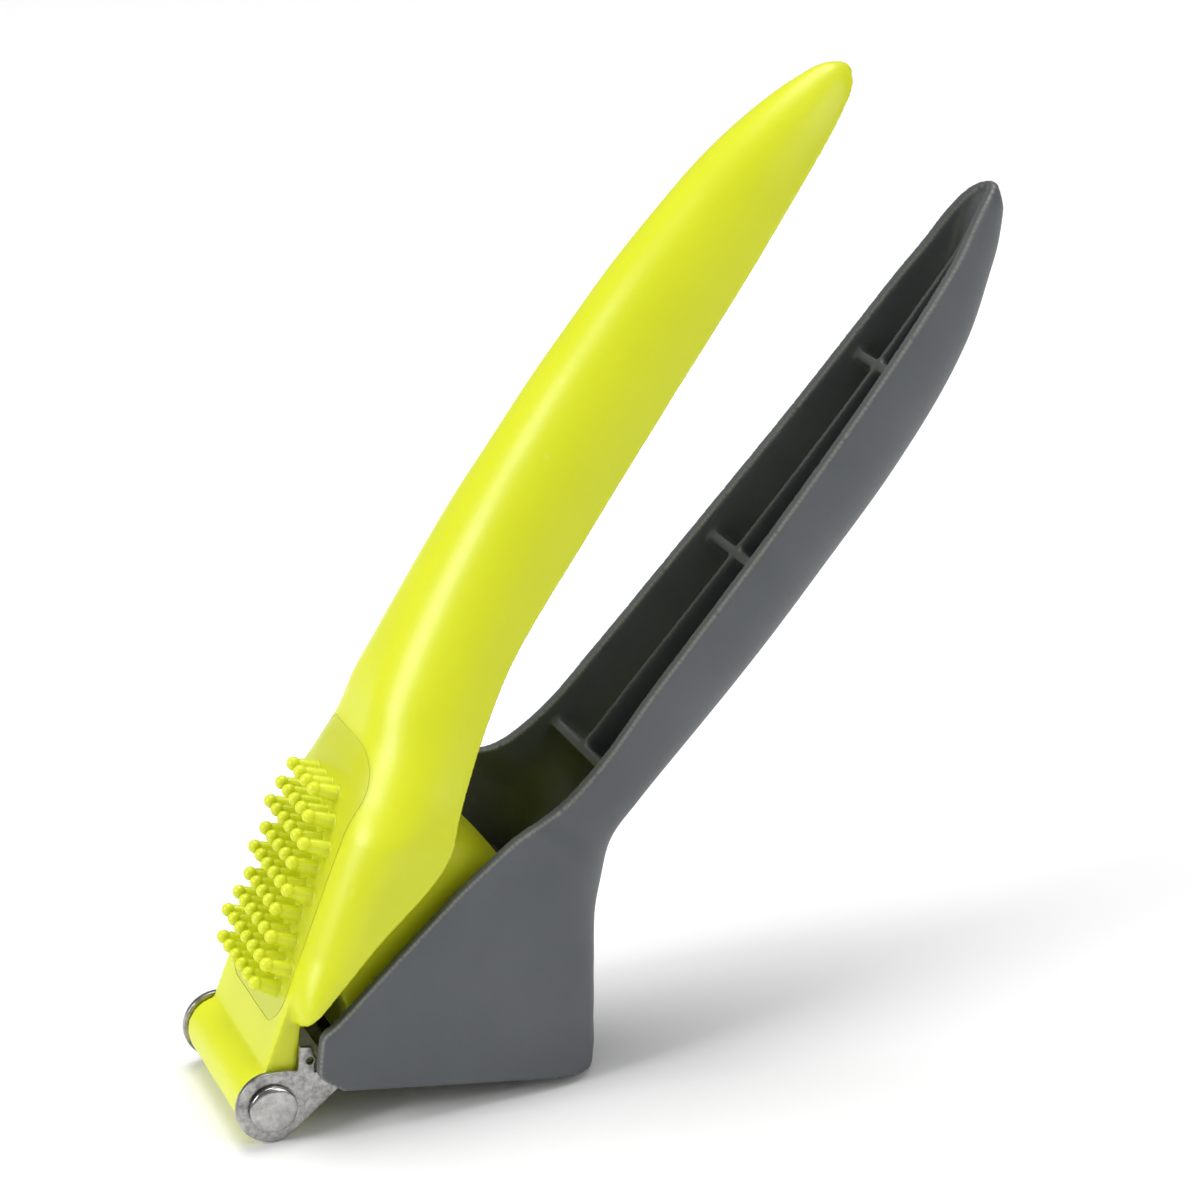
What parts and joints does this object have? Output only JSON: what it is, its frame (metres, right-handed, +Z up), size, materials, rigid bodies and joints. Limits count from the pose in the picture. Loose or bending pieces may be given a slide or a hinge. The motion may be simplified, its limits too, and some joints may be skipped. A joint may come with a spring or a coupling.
{
  "type": "garlic press",
  "caption": "Hand-held garlic press: a hollow lever handle with a plunger and a pin-studded cleaning pad, hinged to a second hollow handle with a steel sieve basket.",
  "frame": {"origin": "centre of the footprint, on the surface the press stands on", "axes": "+X from the hinge towards the handle tips, +Y along the hinge pin away from the viewer, +Z up"},
  "size_m": [0.1409, 0.041, 0.1495],
  "materials": {
    "lime_plastic": "satin, very fine grain",
    "grey_plastic": "matt, fine grain",
    "stainless_steel": "brushed"
  },
  "bodies": {
    "lower_body": {"lower_handle": "grey_plastic", "basket": "stainless_steel", "far_hinge_plate": "stainless_steel", "hinge_pin": "stainless_steel", "near_hinge_plate": "stainless_steel", "sieve_plate": "stainless_steel", "basket_screw_1": "stainless_steel", "basket_screw_2": "stainless_steel", "plate_rivet_1": "stainless_steel", "plate_rivet_2": "stainless_steel", "plate_rivet_3": "stainless_steel", "plate_rivet_4": "stainless_steel"},
    "upper_body": {"upper_handle": "lime_plastic", "cleaner_pad": "lime_plastic", "plunger": "lime_plastic", "plunger_screw_1": "stainless_steel", "plunger_screw_2": "stainless_steel", "plunger_screw_3": "stainless_steel", "plunger_screw_4": "stainless_steel"}
  },
  "joints": [
    {"name": "handle_hinge", "type": "hinge", "parent": "lower_body", "child": "upper_body", "pos_m": [-0.0648, 0, 0.0057], "axis": [0, 1, 0], "range_deg": [-285.5, 4.2]}
  ]
}
